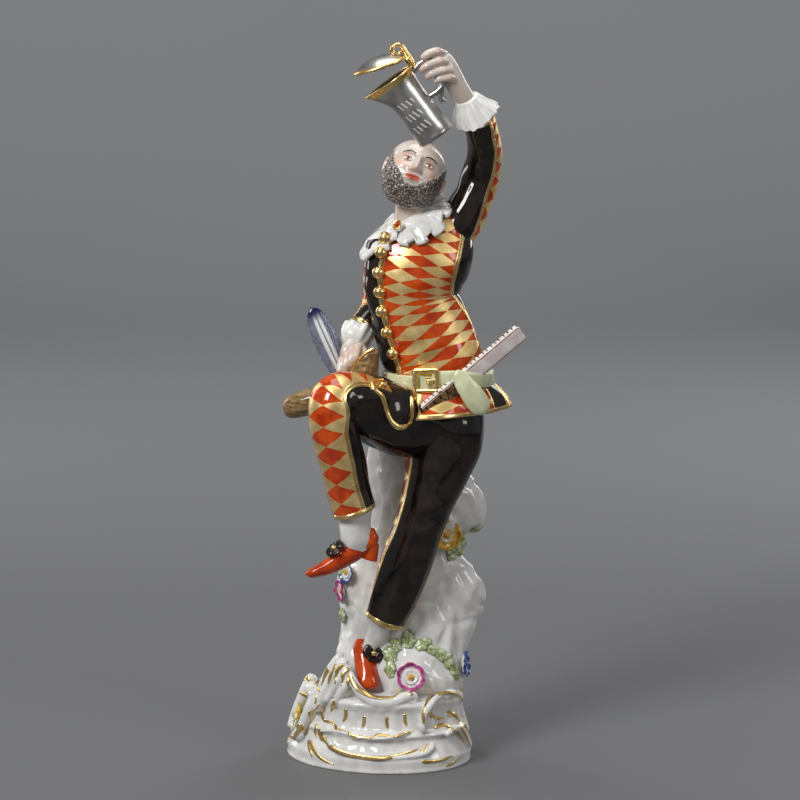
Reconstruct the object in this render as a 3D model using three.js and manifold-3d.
import * as THREE from "three";
import Module from "manifold-3d";

// A glazed porcelain statuette: a comedy player in a parti-coloured suit pours from a lidded jug,
// one knee raised, leaning on a flowered rock that grows from a scrolled plinth.
// Millimetres, +Z up, the front faces -Y. The origin is the middle of the plinth's flat underside.

// Driving dimensions of the plinth
const plinthWidth = 89; // across the foot, along its longer axis
const plinthDepth = 67; // across the foot, along its shorter axis
const plinthHeight = 33; // from the underside to the ground that carries the shoe
const scrollRadius = 1.5; // of the round mouldings on the plinth's side
const shellRadius = 8.5; // of the fluted shell at the right

// Driving dimensions of the figure. Its pose and carving are shares of the rise.
const figureRise = 307; // from the ground to the top of the lid's thumb piece
const buttonRadius = 3;
const beltWidth = 7.4;
const beltThickness = 1.7;
const buckleWidth = 12;
const batWidth = 8.8;
const batThickness = 3.6;
const jugRadius = 8.8; // outside, at the foot
const jugHeight = 34;
const jugWall = 1.5;
const jugFloor = 2.4;
const lidWall = 1.6;
const lidOpening = 18; // degrees between the rim and the fixed lid
const lidRise = 3; // from the rim to the lid's hinge

const poseParts = 307; // the pose below is written in this many parts of the rise
const grow = figureRise / poseParts;
const tau = 2 * Math.PI;

const wasm = await Module();
wasm.setup();

// A point of the pose, counted from the ground beside the shoe.
function at(x, y, z) {
  return new THREE.Vector3(x * grow, y * grow, z * grow + plinthHeight);
}

function radians(degrees) {
  return THREE.MathUtils.degToRad(degrees);
}

// How much of a hump centred on zero is left at a distance.
function hump(distance, reach) {
  return Math.exp(-((distance / reach) ** 2));
}

// Rounds a form off towards its ends: 0 at a share of 0 or 1, and 1 past the caps.
function domed(share, startCap, endCap) {
  const start = startCap > 0 ? Math.min(1, share / startCap) : 1;
  const end = endCap > 0 ? Math.min(1, (1 - share) / endCap) : 1;
  const round = (s) => Math.sqrt(Math.max(0.04, 1 - (1 - s) ** 2));
  return round(start) * round(end);
}

// A solid whose skin runs through rings of points. pointAt(share, angle) gives each point, with the
// share from 0 at the first ring to 1 at the last.
function skin(pointAt, rings, sides) {
  const points = [];
  const ends = [new THREE.Vector3(), new THREE.Vector3()];
  for (let i = 0; i <= rings; i++)
    for (let j = 0; j < sides; j++) {
      const p = pointAt(i / rings, (tau * j) / sides);
      points.push(p);
      if (i === 0) ends[0].addScaledVector(p, 1 / sides);
      if (i === rings) ends[1].addScaledVector(p, 1 / sides);
    }
  const first = points.push(...ends) - 2;
  const faces = [];
  for (let j = 0; j < sides; j++) {
    const k = (j + 1) % sides;
    faces.push([first, k, j]);
    for (let i = 0; i < rings; i++) {
      const low = i * sides;
      const high = low + sides;
      faces.push([low + j, low + k, high + k], [low + j, high + k, high + j]);
    }
    faces.push([first + 1, rings * sides + j, rings * sides + k]);
  }
  const six = faces.reduce((sum, [a, b, c]) => {
    return sum + points[a].dot(new THREE.Vector3().crossVectors(points[b], points[c]));
  }, 0);
  const outward = six < 0 ? faces.map(([a, b, c]) => [a, c, b]) : faces;
  return new wasm.Manifold(
    new wasm.Mesh({
      numProp: 3,
      vertProperties: new Float32Array(points.flatMap((p) => p.toArray())),
      triVerts: new Uint32Array(outward.flat()),
    }),
  );
}

// A limb follows stations [x, y, z, half width, half depth, turn in degrees]. The depth points
// towards facing, and carve(share, angle) swells or sinks the skin.
function limb(stations, facing = [0, -1, 0], carve = () => 1, place = at) {
  const line = new THREE.CatmullRomCurve3(
    stations.map(([x, y, z]) => place(x, y, z)),
    false,
    "catmullrom",
  );
  const sizes = new THREE.CatmullRomCurve3(
    stations.map(([, , , width, depth, turn]) => new THREE.Vector3(width, depth, turn ?? 0)),
    false,
    "catmullrom",
  );
  const front = new THREE.Vector3(...facing);
  return (share, angle) => {
    const along = line.getTangent(share);
    const side = new THREE.Vector3().crossVectors(along, front).normalize();
    const depthway = new THREE.Vector3().crossVectors(side, along);
    const size = sizes.getPoint(share);
    const swell = carve(share, angle) * grow;
    const turned = angle + radians(size.z);
    return line
      .getPoint(share)
      .addScaledVector(side, Math.cos(turned) * size.x * swell)
      .addScaledVector(depthway, Math.sin(turned) * size.y * swell);
  };
}

// A round form whose outline [radius, height] turns about its own Z axis, then is shaped and placed.
function turned(outline, sides, place, shape = (p) => p) {
  const steps = outline.length - 1;
  return skin(
    (share, angle) => {
      const [radius, height] = outline[Math.round(share * steps)];
      const p = new THREE.Vector3(Math.cos(angle) * radius, Math.sin(angle) * radius, height);
      return shape(p, angle, share).applyMatrix4(place);
    },
    steps,
    sides,
  );
}

// The frame with its Z axis along up, its X axis near to right, and its origin at a point.
function frameAt(origin, up, right) {
  const z = new THREE.Vector3(...up).normalize();
  const y = new THREE.Vector3().crossVectors(z, new THREE.Vector3(...right)).normalize();
  const x = new THREE.Vector3().crossVectors(y, z);
  return new THREE.Matrix4().makeBasis(x, y, z).setPosition(origin);
}

function joined(pieces) {
  return pieces.reduce((whole, piece) => whole.add(piece));
}

// The plinth: how far out its side stands at each share of its height.
const plinthProfile = [
  [0, 1],
  [0.18, 1.01],
  [0.34, 0.94],
  [0.46, 0.9],
  [0.52, 0.93],
  [0.6, 0.875],
  [0.84, 0.85],
  [0.95, 0.87],
  [1, 0.82],
];
const plinthTurn = -17; // degrees, which brings the right end nearer to the viewer
const plinthLean = 3; // how far the top stands to the right of the foot
const groundSwell = 2; // how far the ground rises towards the middle

function profileAt(share) {
  const next = Math.max(
    1,
    plinthProfile.findIndex(([height]) => height >= share),
  );
  const [h0, r0] = plinthProfile[next - 1];
  const [h1, r1] = plinthProfile[next];
  return THREE.MathUtils.mapLinear(share, h0, h1, r0, r1);
}

// A point on the plinth's side, moved outwards by some millimetres.
function onPlinth(share, degrees, out = 0) {
  const angle = radians(degrees - plinthTurn);
  const reach = profileAt(Math.min(1, share));
  return new THREE.Vector3(
    Math.cos(angle) * ((plinthWidth / 2) * reach + out),
    Math.sin(angle) * ((plinthDepth / 2) * reach + out),
    share * plinthHeight,
  )
    .applyAxisAngle(new THREE.Vector3(0, 0, 1), radians(plinthTurn))
    .add(new THREE.Vector3(plinthLean * share, 0, 0));
}

function plinth() {
  const inner = [0.8, 0.35]; // the ground's rings, as shares of the rim
  const rings = plinthProfile.length - 1 + inner.length;
  return skin(
    (share, angle) => {
      const ring = Math.round(share * rings);
      const degrees = THREE.MathUtils.radToDeg(angle);
      if (ring < plinthProfile.length) return onPlinth(plinthProfile[ring][0], degrees);
      const rim = onPlinth(1, degrees);
      const shrink = inner[ring - plinthProfile.length];
      const swell = groundSwell * (1 - shrink);
      return new THREE.Vector3(
        (rim.x - plinthLean) * shrink + plinthLean,
        rim.y * shrink,
        rim.z + swell,
      );
    },
    rings,
    22,
  );
}

// A scroll that runs over the plinth's side through [height share, degrees, out, half width].
function scroll(stations) {
  return skin(
    limb(
      stations.map(([share, degrees, out, half]) => [
        ...onPlinth(share, degrees, out).toArray(),
        half,
        half,
      ]),
      [0.1, 0.2, 1],
      (share) => domed(share, 0.12, 0.12),
      (x, y, z) => new THREE.Vector3(x, y, z),
    ),
    (stations.length - 1) * 2,
    5,
  );
}

// The mouldings that frame the plinth's fluted front.
function cartouche(middle) {
  const r = scrollRadius;
  return [
    scroll([
      [0.42, middle - 40, 1.2, r],
      [0.27, middle - 27, 0.6, r * 0.8],
      [0.24, middle, 0.3, r * 0.7],
      [0.27, middle + 25, 0.6, r * 0.8],
      [0.38, middle + 36, 1.2, r],
    ]),
    scroll([
      [1.2, middle - 42, 0.5, r * 1.2],
      [1.12, middle - 30, 0.8, r * 1.4],
      [1, middle - 12, -0.8, r * 1.2],
      [0.98, middle + 10, -0.8, r * 1.2],
      [1.02, middle + 27, 0.2, r * 1.5],
    ]),
  ];
}

// The straps that stand at the plinth's left and right shoulders.
function straps() {
  const r = scrollRadius;
  return [
    scroll([
      [1.1, -151, 0, r * 2],
      [0.85, -154, 1.4, r * 2.2],
      [0.5, -157, 2.4, r * 1.6],
      [0.3, -160, 1.2, r * 1.9],
    ]),
    scroll([
      [1.5, -142, -3.4, r * 2.2],
      [1.28, -143, -0.6, r * 2.7],
      [0.95, -145, 1, r * 1.9],
      [0.75, -147, 1.4, r * 1.3],
    ]),
    scroll([
      [1.1, 160, 0, r * 2],
      [0.85, 163, 1.4, r * 2.2],
      [0.5, 166, 2.4, r * 1.6],
      [0.3, 169, 1.2, r * 1.9],
    ]),
    scroll([
      [1, 22, -2, r * 2],
      [0.8, 19, -0.6, r * 2.2],
      [0.5, 16, 0.6, r * 1.6],
      [0.28, 13, 0.6, r * 1.9],
    ]),
  ];
}

// A fluted shell over a sweeping leaf.
function shell(degrees) {
  const flutes = 8;
  const reach = shellRadius * 0.35; // how deep the shell sits in the side
  const middle = onPlinth(0.84, degrees, -reach * 0.4);
  const out = [Math.cos(radians(degrees)), Math.sin(radians(degrees)), 0.25];
  const outline = [
    [shellRadius * 0.8, -reach * 1.5],
    [shellRadius, 0],
    [shellRadius * 0.9, reach * 0.7],
    [shellRadius * 0.2, reach * 0.5],
  ];
  const fan = turned(outline, flutes * 2, frameAt(middle, out, [0, 0, 1]), (p, angle, share) => {
    return p.multiplyScalar(1 + 0.04 * Math.cos(flutes * angle) * Math.sin(Math.PI * share));
  });
  const r = scrollRadius;
  const leaf = scroll([
    [0.52, degrees - 15, 2.2, r * 1.2],
    [0.58, degrees - 2, 3, r * 1.2],
    [0.45, degrees + 10, 2.6, r * 1.3],
    [0.22, degrees + 16, 1.2, r],
  ]);
  return [fan, leaf];
}

// The rock: a waisted trunk that swells into boulders.
const rockTrunk = [
  [9, 6, -5, 30, 19],
  [10, 6, 8, 29.5, 19],
  [12, 8, 24, 29, 17],
  [13, 10, 42, 30, 15.5],
  [14.5, 11, 62, 28, 15],
  [18, 11.5, 84, 26, 14.5],
  [17, 12, 104, 25, 14],
  [20, 12, 126, 17, 11],
];
const boulders = [
  { station: 5.05, degrees: 5, tall: 0.62, wide: 50, out: 0.3 },
  { station: 2.45, degrees: 10, tall: 1.35, wide: 42, out: 0.25 },
  { station: 3.3, degrees: 165, tall: 0.8, wide: 40, out: 0.14 },
  { station: 1.3, degrees: 185, tall: 0.6, wide: 40, out: 0.04 },
  { station: 0.9, degrees: 62, tall: 0.8, wide: 42, out: 0.34 },
  { station: 2.5, degrees: 280, tall: 0.9, wide: 45, out: 0.22 },
];

function rockPoint(share, angle) {
  const slow = Math.cos(3 * angle + 9 * share + 0.6);
  const fast = Math.cos(5 * angle - 17 * share + 1.2);
  const stations = rockTrunk.length - 1;
  const swell = boulders.reduce((sum, { station, degrees, tall, wide, out }) => {
    const away = Math.atan2(Math.sin(angle - radians(degrees)), Math.cos(angle - radians(degrees)));
    return sum + out * hump(share * stations - station, tall) * hump(away, radians(wide));
  }, 1 + 0.03 * slow + 0.025 * fast);
  return limb(rockTrunk, [0, -1, 0], () => swell)(share, angle);
}

// The rock's face at a height, straight behind a point seen from the front, or from the back.
function rockFace(x, z, behind = false) {
  const target = at(x, 0, z);
  let best = null;
  for (let share = 0; share <= 1; share += 0.02)
    for (let degrees = 0; degrees < 180; degrees += 4) {
      const p = rockPoint(share, radians(behind ? degrees + 180 : degrees));
      const miss = Math.hypot(p.x - target.x, p.z - target.z);
      if (!best || miss < best.miss) best = { miss, y: p.y / grow };
    }
  return best.y;
}

// Modelled flowers seated on the rock: place across and up, the way they look, radius, petals.
const flowers = [
  { x: 15.4, z: 10, look: [0.1, -1, 0.45], radius: 6.2, petals: 6 },
  { x: 36.4, z: 73, look: [0.5, -1, 0.1], radius: 6.4, petals: 5 },
  { x: -15, z: 58, look: [-0.7, -1, 0.1], radius: 4.8, petals: 5 },
  { x: -18.6, z: 49, look: [-1, -0.8, -0.1], radius: 4.8, petals: 5 },
  { x: 40, z: 7, look: [1, -0.6, 0.2], radius: 5, petals: 5 },
  { x: 12, z: 34, look: [-0.1, 1, 0.2], radius: 6, petals: 5, behind: true },
];

// Modelled leaves seated on the rock: the middle, across and up, then the way the tip points.
const leaves = [
  { x: 2, z: 11, tip: [-5, 5], half: 3 },
  { x: 8, z: 17, tip: [-3, 7], half: 3.4 },
  { x: 16, z: 19, tip: [1, 7], half: 3.4 },
  { x: 24, z: 18, tip: [5, 5], half: 3.4 },
  { x: 32, z: 13, tip: [7, 1], half: 3.2 },
  { x: 35, z: 65, tip: [-3, -6], half: 3.6 },
  { x: 42, z: 65, tip: [4, -6], half: 3.6 },
  { x: 46, z: 79, tip: [5, 5], half: 2.8 },
  { x: -17, z: 64, tip: [-5, 4], half: 3 },
  { x: 5, z: 28, tip: [-6, -5], half: 3.4, behind: true },
  { x: 18, z: 42, tip: [5, 6], half: 3.4, behind: true },
];

function flower({ place, look, radius, petals }) {
  const r = radius * grow;
  const outline = [
    [r * 0.35, -r * 0.9],
    [r, r * 0.1],
    [r * 0.3, r * 0.15],
  ];
  const frame = frameAt(at(...place), look, [1, 0, 0.2]);
  return turned(outline, petals * 2, frame, (p, angle, share) => {
    return p.multiplyScalar(1 + 0.08 * Math.cos(petals * angle) * Math.sin(Math.PI * share));
  });
}

function leaf({ stalk, tip, half }) {
  const middle = stalk.map((s, i) => (s + tip[i]) / 2);
  const line = [stalk, middle, tip];
  const widths = [half * 0.6, half, half * 0.2];
  const stations = line.map((p, i) => [...p, widths[i], 1.1]);
  return skin(limb(stations, [0.1, -1, 0.3]), 2, 4);
}

function planted() {
  const lift = 1.6; // how far a flower's middle stands out of the rock
  const blooms = flowers.map(({ x, z, behind, ...rest }) => {
    const out = behind ? lift : -lift;
    return flower({ place: [x, rockFace(x, z, behind) + out, z], ...rest });
  });
  const greens = leaves.map(({ x, z, tip: [right, up], half, behind }) => {
    const out = behind ? 1 : -1;
    const y = rockFace(x, z, behind);
    const stalk = [x - right * 0.7, y - out * 1.4, z - up * 0.7];
    return leaf({ stalk, tip: [x + right, y + out * 3, z + up], half });
  });
  return [...blooms, ...greens];
}

// The plinth's own sprig, on its left flank.
function sprig() {
  const blossom = onPlinth(0.62, -178, 2.6);
  const centre = [blossom.x, blossom.y, blossom.z - plinthHeight].map((v) => v / grow);
  const [x, y, z] = centre;
  return [
    flower({ place: centre, look: [-1, -0.1, 0.3], radius: 4, petals: 6 }),
    leaf({ stalk: [x + 1, y, z + 2], tip: [x + 4, y - 2, z + 12], half: 2.6 }),
    leaf({ stalk: [x + 1, y, z - 2], tip: [x - 1, y - 2, z - 9], half: 2.6 }),
  ];
}

// The standing leg, on the figure's own left, from the hip down to the trouser hem.
const standingTrouser = [
  [31, 3, 136, 19, 15],
  [31, 1, 121, 18.6, 15],
  [28, -3, 106.5, 15.5, 14.5],
  [23.4, -6, 92.8, 12.8, 13.2],
  [18.8, -9, 79, 11.6, 12.4],
  [14, -10, 64.7, 12, 12],
  [9, -10, 50.2, 11.2, 11],
  [2.8, -9, 34.6, 9.4, 9.3],
];
const standingStocking = [
  [4, -9, 39, 5.6, 5.8],
  [-1, -8, 28, 4.9, 5],
  [-4, -6, 18.5, 4.6, 4.8],
  [-6, -4, 12, 4.4, 4.8],
];
const standingShoe = [
  [-8.6, 0, 18.6, 4.2, 3.6],
  [-8, -3, 15, 4.9, 5],
  [-7.2, -7, 11, 5.1, 5.4],
  [-6.2, -12, 7.4, 5.3, 4.8],
  [-5.2, -17, 4.6, 5, 3.6],
  [-4.6, -20.4, 3.2, 3.6, 2.4],
];

// The raised leg, on the figure's own right: thigh towards the viewer, shin hanging.
const raisedThigh = [
  [24, 2, 127, 15.6, 15.6],
  [14, -6, 130, 15.4, 16.4],
  [3, -15, 135, 14.4, 15.8],
  [-8, -24.2, 140.8, 13.2, 14.8],
  [-17, -31, 143.6, 12.4, 13.4],
  [-21.4, -34.6, 144, 8.8, 10.4],
];
const raisedShin = [
  [-19.6, -32.6, 153.6, 8.8, 9],
  [-20.8, -34.6, 144.4, 12.2, 12.4],
  [-20, -35, 132.4, 11.7, 11.8],
  [-16.8, -34.4, 119, 11, 11.1],
  [-13.4, -33.2, 106.4, 10.6, 10.7],
  [-9.6, -32, 93.4, 10.8, 10.6],
];
const raisedStocking = [
  [-9.6, -32, 97, 7.6, 7.4],
  [-10.6, -32, 87, 7.4, 7.2],
  [-9.6, -32, 79, 7.2, 6.4],
  [-8, -32, 74, 5.6, 4.6],
];
const raisedShoe = [
  [-1.6, -31.6, 79.6, 4, 4.6],
  [-5.6, -31.6, 78, 6.2, 5],
  [-11.4, -32.4, 75.8, 6.2, 5.4],
  [-18.4, -34, 71.2, 5.2, 5.4],
  [-26.4, -35.6, 67.2, 3.8, 5],
  [-33.6, -37, 65.6, 2.2, 3],
];

// Soft creases round a sleeve or trouser leg.
function creased(depth, turns, phase) {
  return (share, angle) => 1 + depth * Math.cos(turns * share * tau + 2 * angle + phase);
}

function standingLeg() {
  const heel = skin(
    limb(
      [
        [-10, 3, -3, 3.6, 3.6],
        [-9.6, 1.6, 5, 3.4, 3.6],
        [-8.6, 0, 14, 4, 4],
      ],
      [0, -1, 0],
    ),
    2,
    6,
  );
  const shoeCarve = (share) => domed(share, 0.12, 0.16);
  return [
    skin(limb(standingTrouser, [0, -1, 0], creased(0.025, 2.2, 1)), 8, 9),
    skin(limb(standingStocking), 2, 8),
    skin(limb(standingShoe, [0, 0, 1], shoeCarve), 6, 7),
    heel,
    ...rosette([-3.4, -11, 17.4], [0.25, -1, 0.5], 4.4),
  ];
}

function raisedLeg() {
  const heel = skin(
    limb([
      [-2.4, -31.6, 67.4, 3, 3.2],
      [-3, -31.6, 71, 3, 3.4],
      [-3, -31.6, 77, 3.8, 3.6],
    ]),
    2,
    6,
  );
  const shoeCarve = (share) => domed(share, 0.1, 0.14);
  return [
    skin(
      limb(raisedThigh, [0, 0, 1], (share, angle) => {
        return creased(0.02, 1.6, 0)(share, angle) * domed(share, 0, 0.14);
      }),
      5,
      10,
    ),
    skin(
      limb(raisedShin, [0, -1, 0], (share, angle) => {
        return creased(0.02, 2, 2)(share, angle) * domed(share, 0.12, 0);
      }),
      7,
      9,
    ),
    skin(limb(raisedStocking), 2, 8),
    skin(limb(raisedShoe, [0, -1, 0.1], shoeCarve), 6, 7),
    heel,
    ...rosette([-20.4, -38, 77.2], [-0.5, -0.6, 0.8], 4.2),
  ];
}

// A ribbon rosette of looped petals round a stud.
function rosette(place, look, radius) {
  const r = radius * grow;
  const frame = frameAt(at(...place), look, [1, 0, 0]);
  const bow = [
    [r * 0.7, -r * 0.7],
    [r, 0],
    [r * 0.4, r * 0.4],
  ];
  return [turned(bow, 8, frame)];
}

// The jacket's body, from the belt to the neck. The chest arches to the figure's own right.
const torso = [
  [27, 6, 154, 24, 17],
  [25.8, 6, 158.5, 23.4, 16.8],
  [22.6, 6, 167.5, 23, 16.6],
  [18.8, 6, 179, 22, 16.4],
  [16.6, 6, 188, 21.6, 16.2],
  [17.2, 6, 197.5, 23.4, 16.2],
  [19.4, 7.5, 207, 25, 15.4],
  [20, 10, 215, 23.5, 13],
  [17, 11.5, 221.5, 14, 10],
  [14.6, 11, 228, 7.6, 7.6],
  [15.6, 9, 236, 7.4, 7.8],
];
const beltMiddle = [28.4, 5, 149.5];
const beltHalf = [24.8, 17.2]; // the waist's half width and half depth inside the belt

// The jacket's skirt flares from under the belt, and is nicked at its waving hem.
const skirtHem = 133.8;
const skirtFlare = 0.26;
const skirtPush = 6.5; // how far the raised thigh holds the hem out
const thighHeading = 122; // degrees round the waist, where the raised thigh leaves it

function skirtPoint(drop, angle) {
  const [x, y, z] = beltMiddle;
  const [wide, deep] = beltHalf;
  const flare = 1 + skirtFlare * Math.sin((drop * Math.PI) / 2);
  const wave = 1.4 * Math.cos(5 * angle) * drop;
  const low = z - beltWidth / 2 / grow;
  const height = low - (low - skirtHem) * drop + 1.5 * drop * Math.cos(angle);
  const degrees = THREE.MathUtils.radToDeg(THREE.MathUtils.euclideanModulo(angle, tau));
  const onThigh = hump(degrees - thighHeading, 66);
  const forward = Math.sin(angle) * deep * flare + skirtPush * drop * onThigh;
  return at(x + Math.cos(angle) * (wide * flare + wave), y - forward, height);
}

// A point on the waist at a height from the belt's middle, in millimetres, moved outwards.
function onWaist(height, angle, out) {
  const [x, y, z] = beltMiddle;
  const [wide, deep] = beltHalf;
  const p = at(x, y, z);
  p.x += Math.cos(angle) * (wide * grow + out);
  p.y -= Math.sin(angle) * (deep * grow + out);
  p.z += height;
  return p;
}

// The lobed front flap that lies on the raised thigh.
const frontFlap = [
  [7, -13, 149, 8.6, 2],
  [6.8, -20.4, 148.4, 10.2, 2.6],
  [8.4, -25, 145.6, 9.2, 2.8],
  [9.9, -28, 138.6, 6.8, 2.6],
  [11.3, -28.2, 133.2, 4.4, 2],
  [11.6, -27.6, 131.4, 2, 1.2],
];

// The skirt, the belt and the body are one skin, ring upon ring.
function jacket() {
  const chest = limb(torso, [0, -1, 0], creased(0.01, 3, 0.4));
  const half = beltWidth / 2;
  const rings = [
    (angle) => skirtPoint(1, angle).lerp(skirtPoint(0.9, angle + Math.PI), 0.12),
    (angle) => skirtPoint(1, angle),
    (angle) => skirtPoint(0.5, angle),
    (angle) => onWaist(-half, angle, 0),
    (angle) => onWaist(-half * 0.9, angle, beltThickness),
    (angle) => onWaist(half * 0.9, angle, beltThickness),
    (angle) => onWaist(half, angle, 0),
  ];
  const chestRings = 9;
  for (let i = 0; i <= chestRings; i++) rings.push((angle) => chest(i / chestRings, angle));
  const last = rings.length - 1;
  const flap = skin(limb(frontFlap, [0.35, -0.6, 0.7]), 5, 8);
  return [skin((share, angle) => rings[Math.round(share * last)](angle), last, 16), flap];
}

// The front opening's buttons, from the waist up to the throat: the torso station each one sits at,
// and its degrees round the body.
const buttonSeats = [
  [2.07, 131],
  [2.86, 131],
  [3.75, 131],
  [4.38, 131],
  [5, 133],
  [5.62, 132],
  [6.4, 125],
];

function buttons() {
  const chest = limb(torso);
  const r = buttonRadius;
  const outline = [
    [r * 0.9, -r],
    [r, r * 0.3],
    [r * 0.4, r],
  ];
  return buttonSeats.map(([station, degrees]) => {
    const share = station / (torso.length - 1);
    const seat = chest(share, radians(degrees));
    const middle = chest(share, 0).add(chest(share, Math.PI)).multiplyScalar(0.5);
    return turned(outline, 5, frameAt(seat, seat.clone().sub(middle).toArray(), [0, 0, 1]));
  });
}

// What the belt carries: its buckle, its outer end that holds the slapstick, and its loose tongue.
function beltFittings() {
  const [x, y, z] = beltMiddle;
  const face = at(x - 5.5, 0, z + 1.8);
  face.y = onWaist(0, radians(102), beltThickness).y;
  const buckleHeight = buckleWidth * 0.88;
  const frame = frameAt(face, [-0.2, -1, 0.05], [1, -0.1, 0.06]);
  const plate = new THREE.BoxGeometry(buckleWidth, buckleHeight, beltThickness * 1.8);
  const hole = new THREE.BoxGeometry(buckleWidth * 0.62, buckleHeight * 0.62, beltThickness * 4);
  hole.translate(0, 0, beltThickness * 2.2);
  const buckle = block(plate, frame).subtract(block(hole, frame));
  const half = beltWidth / 2 / grow;
  const outerEnd = skin(
    limb(
      [
        [x - 2, y - 19, z + 2.6, half, 1.4],
        [x + 9, y - 20, z + 3, half, 1.6],
        [x + 18, y - 16.4, z + 1.4, half, 1.8],
        [x + 25, y - 7, z + 0.4, half, 1.8],
      ],
      [0.1, -1, 0],
    ),
    4,
    6,
  );
  const tongue = skin(
    limb(
      [
        [x + 6.4, y - 20.6, z + 4.6, 3.2, 1.3],
        [x + 11.4, y - 22, z + 1.4, 4.5, 1.6],
        [x + 16, y - 21.6, z - 5, 5.2, 1.7],
        [x + 19.8, y - 20.2, z - 10.8, 4.9, 1.6],
        [x + 21.6, y - 19.2, z - 14.2, 2.6, 1.1],
      ],
      [0.2, -1, 0],
    ),
    5,
    6,
  );
  return [buckle, outerEnd, tongue];
}

// A three.js box as a solid, in a frame.
function block(geometry, frame) {
  const placed = geometry.applyMatrix4(frame);
  const position = placed.getAttribute("position");
  const corners = [];
  const index = [];
  for (const i of placed.index.array) {
    const p = new THREE.Vector3().fromBufferAttribute(position, i);
    const known = corners.findIndex((q) => q.distanceTo(p) < 1e-4);
    index.push(known < 0 ? corners.push(p) - 1 : known);
  }
  return new wasm.Manifold(
    new wasm.Mesh({
      numProp: 3,
      vertProperties: new Float32Array(corners.flatMap((p) => p.toArray())),
      triVerts: new Uint32Array(index),
    }),
  );
}

// The slapstick: a flat bat stuck through the belt, from its tip to its grip.
const batTip = [20.6, -20.2, 136.2];
const batGrip = [67.2, -3.8, 172.8];

function bat() {
  const low = at(...batTip);
  const high = at(...batGrip);
  const along = high.clone().sub(low);
  const frame = frameAt(
    low.clone().lerp(high, 0.5),
    along.toArray(),
    [0.35, -1, -0.2],
  );
  return [block(new THREE.BoxGeometry(batThickness, batWidth, along.length()), frame)];
}

// The raised arm, on the figure's own left.
const raisedSleeve = [
  [28, 10, 211, 9, 9],
  [36.5, 11.5, 218.5, 10.4, 10],
  [43.4, 14, 230, 9.4, 9.4],
  [48.6, 15.5, 243, 8.6, 8.6],
  [50, 11, 255.5, 8.2, 8.4],
  [48.4, 3, 266, 7.6, 7.8],
  [46, -3, 274, 7.8, 7.8],
];
const raisedHand = [
  [43.6, -4, 276.4, 4.6, 4.6],
  [39.6, -7, 283.4, 4.6, 4.5],
  [36, -9, 288.8, 4.6, 4.6],
  [33.2, -10, 293.6, 4.5, 4.6],
  [31.2, -10.4, 298.4, 4, 4.2],
  [29.8, -11, 302.6, 2.6, 3],
];

// The lowered arm, on the figure's own right, hidden behind the chest.
const loweredSleeve = [
  [12, 12, 211, 9, 9],
  [5, 15.6, 207, 9.4, 9.2],
  [1.8, 19, 197, 8.8, 8.8],
  [0.8, 20, 187, 8, 8.2],
  [-2, 17.4, 178, 7.6, 7.8],
  [-8.2, 11.4, 170.8, 7.2, 7.6],
];
const loweredHand = [
  [-8, 11.8, 173.4, 4.6, 4.6],
  [-10.4, 6.8, 168.6, 4.4, 4.6],
  [-11.6, 3, 165, 5.2, 4.2],
  [-12.6, 0, 161.6, 5.6, 3.6],
  [-13.4, -1.2, 158.6, 4.6, 2.8],
];
const raisedFrill = [
  [41, -6.6, 282.6, 5.2, 5.2],
  [43, -4.6, 278.4, 7.8, 7.8],
  [45.5, -2.2, 273.4, 11.4, 11.4],
];
const loweredFrill = [
  [-11.6, 3.4, 164.4, 4.6, 4.6],
  [-10.4, 6.4, 168, 7.5, 7.5],
  [-8.9, 9.8, 171.6, 7.6, 7.6],
];

// A finger through its knuckles, thick at the root.
function finger(points, root = 2.2) {
  const stations = points.map((p, i) => [...p, root - 0.25 * i, root - 0.25 * i]);
  const carve = (share) => domed(share, 0, 0.18);
  return skin(limb(stations, [0.2, -0.4, 1], carve), 3, 4);
}

// A gathered frill: a pleated bell that opens from the wrist towards the elbow.
function frill(stations, pleats = 7) {
  const carve = (share, angle) => 1 + 0.09 * share * Math.cos(pleats * angle);
  return skin(limb(stations, [0, -1, 0.1], carve), 2, pleats * 2);
}

function raisedArm() {
  const fingers = [
    [
      [31, -10.4, 302.6],
      [25.4, -15.4, 303.6],
      [20.6, -15.4, 300.8],
    ],
    [
      [33, -11.4, 298.6],
      [26, -16.6, 299.2],
      [19.8, -16, 295.6],
    ],
    [
      [34.6, -11.4, 294.6],
      [28.2, -16.6, 295.2],
      [22.8, -15.8, 292.6],
    ],
    [
      [35.8, -11, 290.8],
      [30.8, -15.6, 292.4],
      [26.4, -15, 291.4],
    ],
  ];
  const thumb = [
    [37, -6.4, 291],
    [30.6, -6.6, 295],
    [25, -8.6, 296],
  ];
  return [
    skin(limb(raisedSleeve, [0, -1, 0.3], creased(0.03, 2.4, 0.6)), 7, 9),
    skin(limb(raisedHand, [0.4, -1, 0.2]), 4, 6),
    frill(raisedFrill),
    ...fingers.map((points) => finger(points)),
    finger(thumb, 2.4),
  ];
}

function loweredArm() {
  const fingers = [-3.6, -1.1, 1.4, 3.8].map((step) => [
    [-12.2 + step, -0.4, 162.6 + step * 0.7],
    [-13.8 + step, -5.2, 159.4 + step * 0.8],
    [-14 + step, -5.8, 154.8 + step],
  ]);
  const thumb = [
    [-8.6, 1.8, 166],
    [-6.6, -2, 163],
    [-7.6, -4.6, 160],
  ];
  return [
    skin(limb(loweredSleeve, [0, -1, 0.3], creased(0.03, 2.4, 2)), 6, 8),
    skin(limb(loweredHand, [0.2, -1, -0.4]), 3, 6),
    frill(loweredFrill),
    ...fingers.map((points) => finger(points)),
    finger(thumb),
  ];
}

// The jug and its lid. Its own frame has Z up its axis and X towards the spout.
const jugFoot = [27.4, -13, 265];
const jugAxis = [-0.588, -0.03, 0.808];
const spoutReach = 6.4;
const spoutStart = 0.6; // share of the height where the spout begins to lean out

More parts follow.
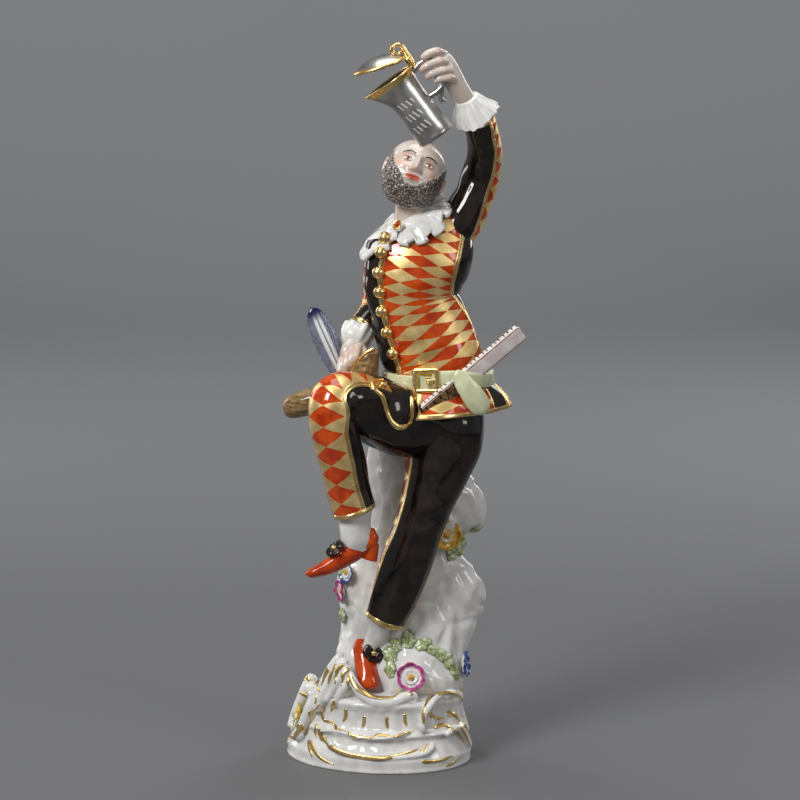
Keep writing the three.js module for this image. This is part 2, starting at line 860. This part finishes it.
function jugFrame() {
  return frameAt(at(...jugFoot), jugAxis, [-0.81, 0, -0.59]);
}

// Leans the neck's front out into a spout.
function pouring(p, angle) {
  const rise = THREE.MathUtils.smoothstep(p.z / jugHeight, spoutStart, 1.05);
  const towards = Math.max(0, Math.cos(angle)) ** 3;
  p.x += spoutReach * rise * towards;
  p.y *= 1 - 0.12 * rise * Math.max(0, Math.cos(angle));
  return p;
}

function jug() {
  const top = jugHeight;
  const outer = jugRadius;
  const inner = outer - jugWall;
  const body = [
    [outer, 0],
    [outer * 0.95, top * 0.7],
    [outer * 1.06, top * 0.93],
    [outer * 1.12, top * 0.97],
    [outer * 1.08, top],
    [inner * 1.1, top],
    [inner * 1.02, top * 0.93],
    [inner * 0.94, top * 0.7],
    [inner, jugFloor],
  ];
  const frame = jugFrame();
  return [turned(body, 14, frame, pouring), ...lid(frame), ...handle(frame)];
}

function lid(frame) {
  const hinge = jugRadius * 1.1; // from the jug's axis to the hinge
  const length = hinge + jugRadius + spoutReach; // hinge to the lid's tip
  const half = length / 2;
  const seat = jugHeight + lidRise;
  const opened = new THREE.Matrix4()
    .makeTranslation(-hinge, 0, seat)
    .multiply(new THREE.Matrix4().makeRotationY(radians(-lidOpening)))
    .multiply(new THREE.Matrix4().makeTranslation(half, 0, 0));
  const place = frame.clone().multiply(opened);
  const wide = jugRadius * 1.12;
  const outline = [
    [0.6, 0.8],
    [1, 0],
    [1.05, lidWall],
    [0.75, lidWall + 2],
    [0.3, lidWall + 3.8],
  ];
  const shape = (p) => new THREE.Vector3(p.x * half, p.y * wide, p.z);
  const cover = turned(outline, 10, place, shape);
  const inJug = (x, y, z) => new THREE.Vector3(x, y, z).applyMatrix4(frame);
  const thumb = skin(
    limb(
      [
        [-hinge, 0, jugHeight - 2, 1.6, 2.4],
        [-hinge - 0.6, 0, seat, 2.4, 2.8],
        [-hinge - 1.4, 0, seat + 4.4, 1.3, 2.2],
        [-hinge + 0.2, 0, seat + 7.8, 1.2, 2.4],
        [-hinge + 3, 0, seat + 7.6, 1.2, 2.4],
        [-hinge + 3.8, 0, seat + 4.8, 1.2, 2.2],
      ],
      [0, 1, 0],
      () => 1,
      inJug,
    ),
    6,
    5,
  );
  return [cover, thumb];
}

function handle(frame) {
  const inJug = (x, y, z) => new THREE.Vector3(x, y, z).applyMatrix4(frame);
  const wall = -jugRadius; // the side away from the spout
  const top = jugHeight;
  const bow = skin(
    limb(
      [
        [wall + 0.6, 0, top * 0.9, 1.6, 2],
        [wall - 5.4, 0, top * 0.94, 1.6, 2.1],
        [wall - 10, 0, top * 0.87, 1.6, 2.2],
        [wall - 11.8, 0, top * 0.7, 1.6, 2],
        [wall - 9.4, 0, top * 0.56, 1.5, 1.8],
        [wall - 4.6, 0, top * 0.5, 1.5, 1.8],
        [wall + 0.6, 0, top * 0.5, 1.6, 1.8],
      ],
      [0, 1, 0],
      () => 1,
      inJug,
    ),
    8,
    5,
  );
  const tail = skin(
    limb(
      [
        [wall - 6, 0, top * 0.5, 1.2, 1.6],
        [wall - 4, 0, top * 0.41, 1.2, 1.6],
        [wall - 4.6, 0, top * 0.31, 1, 1.5],
      ],
      [0, 1, 0],
      (share) => domed(share, 0, 0.2),
      inJug,
    ),
    3,
    5,
  );
  return [bow, tail];
}

// The head looks up: its own frame has Z to the crown and -Y to the face.
const headMiddle = [17, 7.6, 245.4];
const headCrown = [0.34, 0.5, 0.8]; // the way from the chin to the crown
const headSide = [0.93, -0.06, -0.36]; // the way to the figure's own left ear

function headPlace() {
  const frame = frameAt(at(...headMiddle), headCrown, headSide);
  return (x, y, z) => new THREE.Vector3(x, y, z).multiplyScalar(grow).applyMatrix4(frame);
}

const skull = [
  [-1, -6.2, -14.8, 4.4, 4.4],
  [-1, -4.8, -12.8, 9.4, 8.6],
  [-0.6, -2.4, -8, 13.2, 12.2],
  [0, -0.4, -2, 13.6, 13.8],
  [0, 0.6, 4, 13.8, 14.2],
  [0, 1, 9.4, 12.6, 13],
  [0, 1.2, 13.6, 8.8, 9.6],
  [0, 1.2, 15.6, 3.2, 3.8],
];

// Sinks the eye sockets, and lifts the brow and the curled beard, in the head's own frame.
function faceCarve(share, angle) {
  const fromFront = angle - radians(90);
  const socket = hump(Math.abs(fromFront) - 0.38, 0.24) * hump(share - 0.52, 0.07);
  const brow = hump(fromFront, 0.8) * hump(share - 0.64, 0.06);
  const beard = hump(fromFront, 1.3) * hump(share - 0.2, 0.16);
  return 1 - 0.1 * socket + 0.03 * brow + 0.05 * beard;
}

function head() {
  const place = headPlace();
  const face = [0, -1, 0];
  const nose = [
    [0, -12.8, 3, 1.4, 1.4],
    [0, -14.8, -0.4, 1.8, 1.8],
    [0, -15.4, -3, 2.6, 2],
    [0, -13, -4.4, 2, 1.2],
  ];
  const ears = [-1, 1].map((side) =>
    skin(
      limb(
        [
          [side * 12.6, 2.4, -4.6, 1.4, 1.2],
          [side * 14, 2.8, -0.6, 1.6, 2.4],
          [side * 13.6, 2.8, 4, 1.2, 1.8],
        ],
        face,
        () => 1,
        place,
      ),
      2,
      4,
    ),
  );
  return [
    skin(limb(skull, face, faceCarve, place), 8, 12),
    skin(limb(nose, [1, 0, 0], () => 1, place), 3, 5),
    ...ears,
  ];
}

// The ruff: a folded band of lawn that stands out round the neck and waves at its edge.
const ruffMiddle = [14.4, 8.4, 222.4];
const ruffUp = [-0.5, -0.3, 0.81];
const ruffWaves = 5;

function ruff() {
  const frame = frameAt(at(...ruffMiddle), ruffUp, [1, 0, 0.3]);
  const outline = [
    [8.6, 3.6],
    [14, 3],
    [22, -1.6],
    [22, -4],
    [8.2, -4.4],
  ];
  return [
    turned(outline, ruffWaves * 4, frame, (p, angle) => {
      const out = Math.hypot(p.x, p.y) / 20;
      p.z += 2.1 * out * Math.cos(ruffWaves * angle) + 1.4 * out * Math.cos(2 * angle + 1);
      p.multiplyScalar(1 + 0.05 * out * Math.cos(4 * angle + 0.5));
      return p.multiplyScalar(grow);
    }),
  ];
}

// The felt hat in the lowered hand, its brim turned up at the open end, with a plume.
const feltHat = [
  [-44.8, 2, 134.6, 1.8, 2.2],
  [-43, 2, 135.1, 4.6, 5],
  [-38, 2, 136.6, 6, 7.4],
  [-27, 2, 140.2, 6.4, 9.4],
  [-16, 2, 144.6, 6.6, 10],
  [-8, 1, 148.4, 6.6, 9],
  [-2, 0, 152, 3.6, 5],
];
const hatBrim = [
  [-8.2, -1, 144.5, 6.6, 8],
  [-7.2, -3.4, 149, 7.6, 7.2],
  [-6.2, -5.2, 153.4, 6.8, 5.4],
  [-4.1, -6.6, 159, 5, 3.8],
  [-1.5, -7.3, 164.2, 2.2, 2],
];

function hat() {
  const felt = skin(limb(feltHat), 5, 8);
  const brim = skin(limb(hatBrim, [0.3, -1, 0.2]), 4, 6);
  const plume = skin(
    limb(
      [
        [-14.6, 4, 146, 2.4, 1.6],
        [-19.4, 5, 156, 5.2, 1.9],
        [-24.4, 6, 167, 6, 2],
        [-28.6, 7, 176.4, 4.8, 1.7],
        [-31.2, 7.4, 182.6, 2, 1.2],
      ],
      [0.2, -1, 0],
      (share) => domed(share, 0, 0.1),
    ),
    4,
    6,
  );
  return [felt, brim, plume];
}

// Trapped air between joined pieces is closed up, as the slip closes it.
function filled(solid) {
  return wasm.Manifold.compose(solid.decompose().filter((body) => body.volume() > 0));
}

const pieces = [
  plinth(),
  ...cartouche(-92),
  ...straps(),
  ...shell(-34),
  ...sprig(),
  skin(rockPoint, 12, 14),
  ...planted(),
  ...standingLeg(),
  ...raisedLeg(),
  ...jacket(),
  ...buttons(),
  ...beltFittings(),
  ...bat(),
  ...raisedArm(),
  ...loweredArm(),
  ...jug(),
  ...head(),
  ...ruff(),
  ...hat(),
];
const figurineSolid = filled(joined(pieces));

// The solid as a three.js geometry.
function geometryOf(solid) {
  const { vertProperties, triVerts, numProp } = solid.getMesh();
  const geometry = new THREE.BufferGeometry();
  const positions = new Float32Array((vertProperties.length / numProp) * 3);
  for (let i = 0; i < positions.length / 3; i++)
    for (let axis = 0; axis < 3; axis++)
      positions[i * 3 + axis] = vertProperties[i * numProp + axis];
  geometry.setAttribute("position", new THREE.BufferAttribute(positions, 3));
  geometry.setIndex(new THREE.BufferAttribute(new Uint32Array(triVerts), 1));
  geometry.computeVertexNormals();
  return geometry;
}

const porcelain = new THREE.MeshStandardMaterial({
  color: 0xe9e7e2,
  roughness: 0.12,
  metalness: 0,
});

const statuette = new THREE.Group();
const figurine = new THREE.Mesh(geometryOf(figurineSolid), porcelain);
figurine.name = "figurine";
statuette.add(figurine);

export default statuette;
